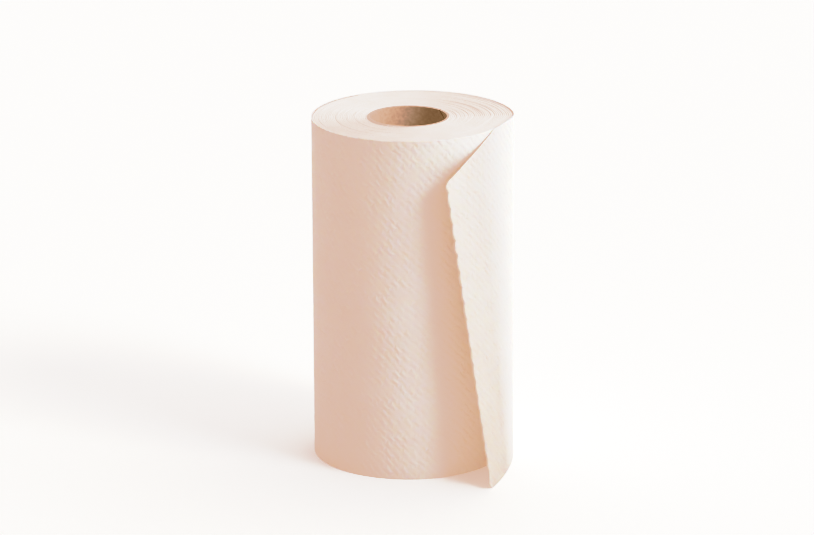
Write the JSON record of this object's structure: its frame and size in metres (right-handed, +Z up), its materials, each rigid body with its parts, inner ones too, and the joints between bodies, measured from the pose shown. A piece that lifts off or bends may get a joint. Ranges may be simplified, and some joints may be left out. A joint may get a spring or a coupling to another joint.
{
  "type": "kitchen paper towel roll",
  "caption": "Standing roll of embossed kitchen paper on a cardboard core, with its last sheet hanging free at the front right and ending in a scalloped perforation.",
  "frame": {"origin": "on the core's axis at the base, where the roll stands", "axes": "+Z up along the core, +X towards the side where the free sheet leaves the roll, -Y to the front, where that sheet hangs"},
  "size_m": [0.1161, 0.1293, 0.2],
  "materials": {
    "core_board": "matte",
    "paper": "matte"
  },
  "bodies": {
    "root": {"cardboard_core": "core_board", "wound_paper": "paper"}
  },
  "joints": []
}
